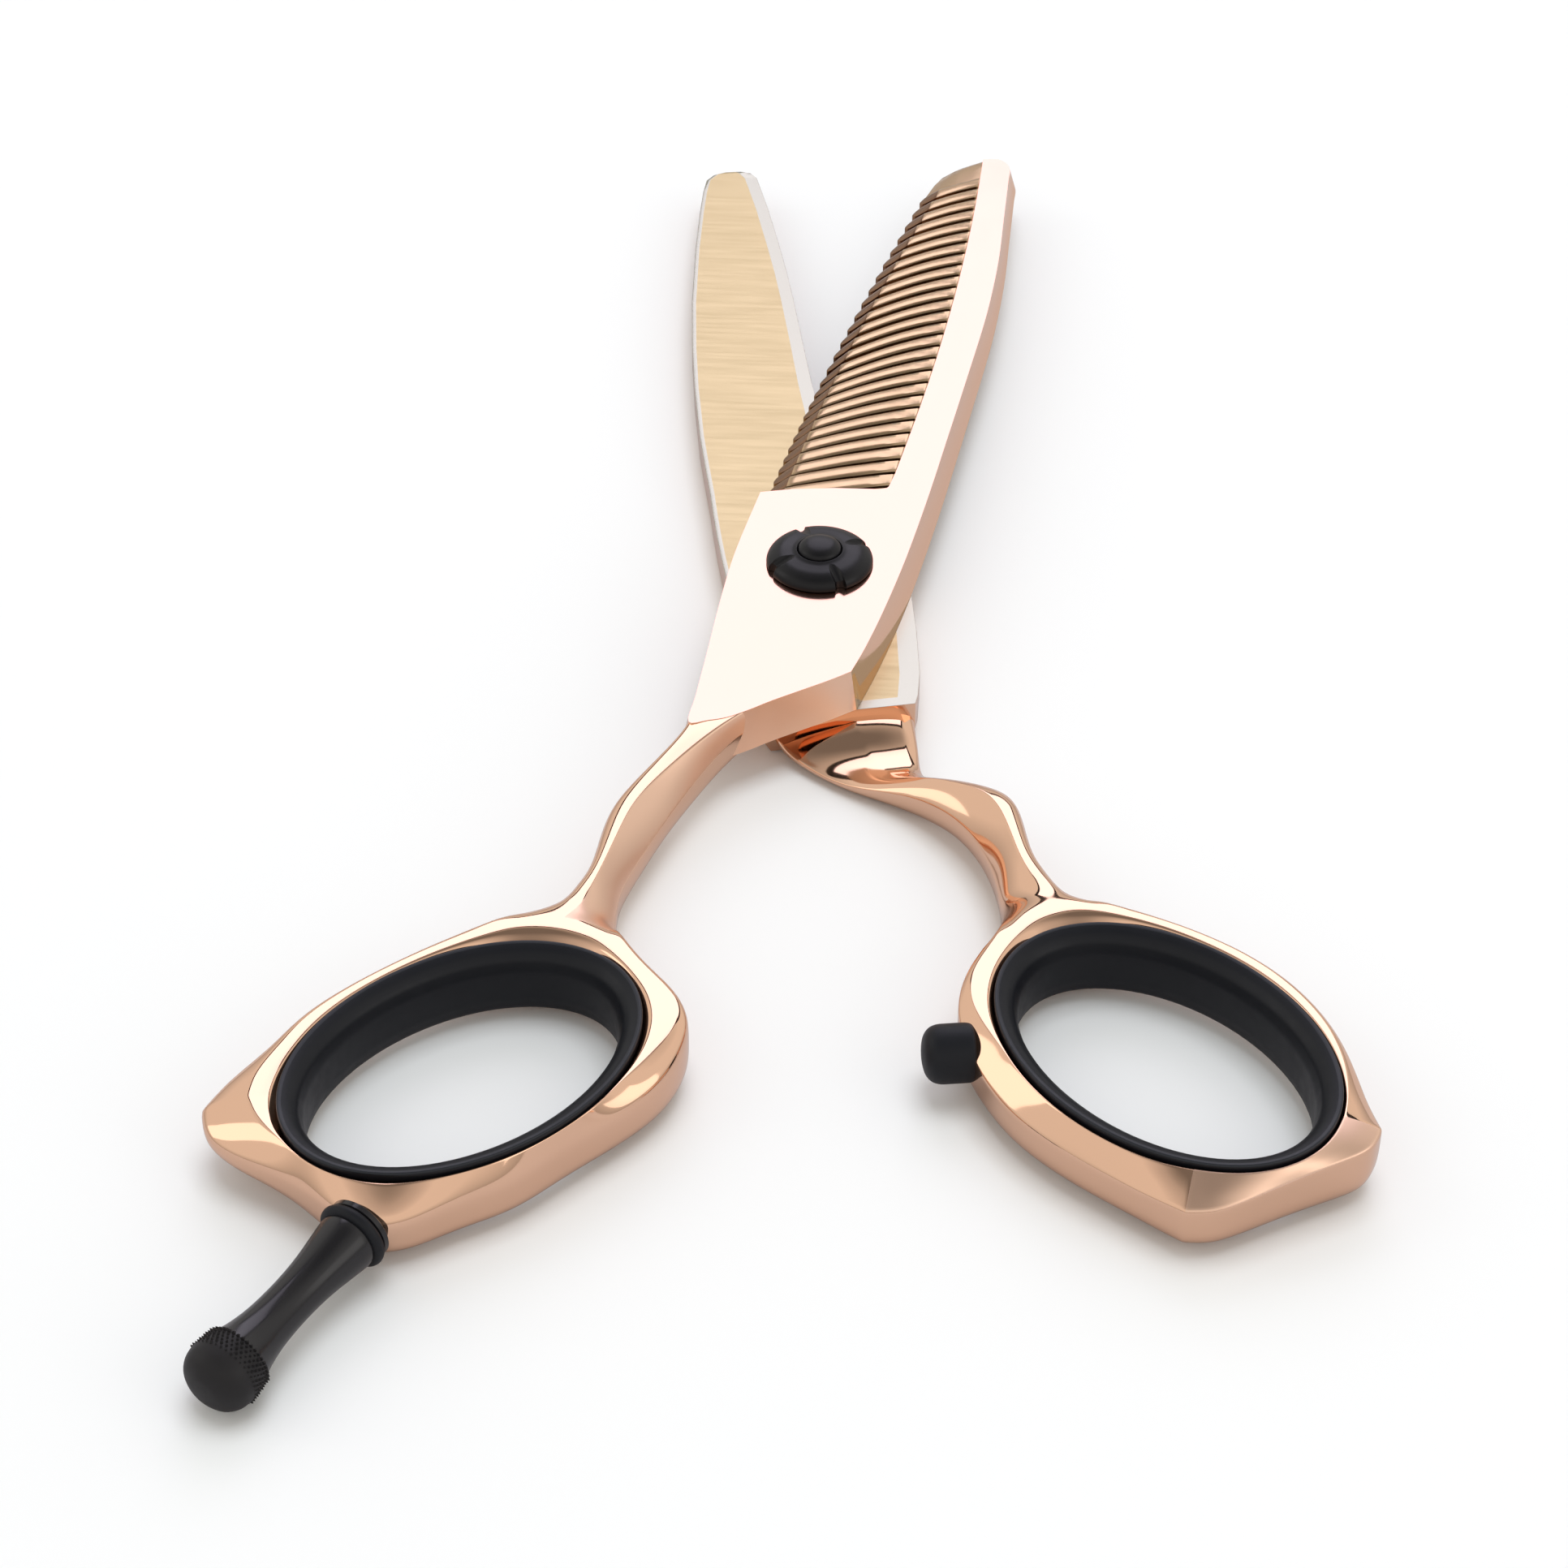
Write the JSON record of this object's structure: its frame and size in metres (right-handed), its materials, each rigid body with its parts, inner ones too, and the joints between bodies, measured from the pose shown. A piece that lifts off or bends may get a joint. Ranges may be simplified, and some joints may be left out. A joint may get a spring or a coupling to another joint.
{
  "type": "thinning shears",
  "caption": "Hair thinning shears: a plain blade and a toothed comb blade on a tension pivot, two lined finger rings, a screw-in finger rest and a stop bumper.",
  "frame": {"origin": "on the pivot axis, at the flat underside of the cutting half and of the bolt head", "axes": "+Y along the middle line between the two blades towards their tips, +Z from the underside to the tension dial, +X towards the thumb ring"},
  "size_m": [0.0821, 0.163, 0.009],
  "materials": {
    "rose_gold": "mirror polished rose gold plating on steel, satin ground on the inner face of the plain blade",
    "insert_rubber": "matt black rubber",
    "bumper_rubber": "matt black rubber",
    "rest_black": "glossy black shaft with a fine-textured matt end",
    "dial_black": "semi-gloss black coated metal",
    "bolt_black": "semi-gloss black coated steel",
    "steel": "plain machined steel",
    "bronze": "plain bearing bronze",
    "nylon": "natural nylon"
  },
  "bodies": {
    "cutting_body": {"cutting_half": "rose_gold", "thumb_insert": "insert_rubber", "stop_bumper": "bumper_rubber", "pivot_bolt": "bolt_black", "bolt_lock_pin": "steel", "glide_washer": "nylon", "spring_washer": "steel", "click_plate": "steel"},
    "comb_body": {"comb_half": "rose_gold", "finger_insert": "insert_rubber", "finger_rest": "rest_black", "finger_rest_stud": "steel", "finger_rest_o_ring": "bumper_rubber", "pivot_bush": "bronze", "thrust_washer": "nylon"},
    "dial_body": {"tension_dial": "dial_black", "click_balls": "steel"}
  },
  "joints": [
    {"name": "blade_pivot", "type": "hinge", "parent": "cutting_body", "child": "comb_body", "pos_m": [0, 0, 0.0034], "axis": [0, 0, 1], "range_deg": [-70, 16.8]},
    {"name": "dial_turn", "type": "hinge", "parent": "cutting_body", "child": "dial_body", "pos_m": [0, 0, 0.0068], "axis": [0, 0, 1], "range_deg": [-180, 180]}
  ]
}
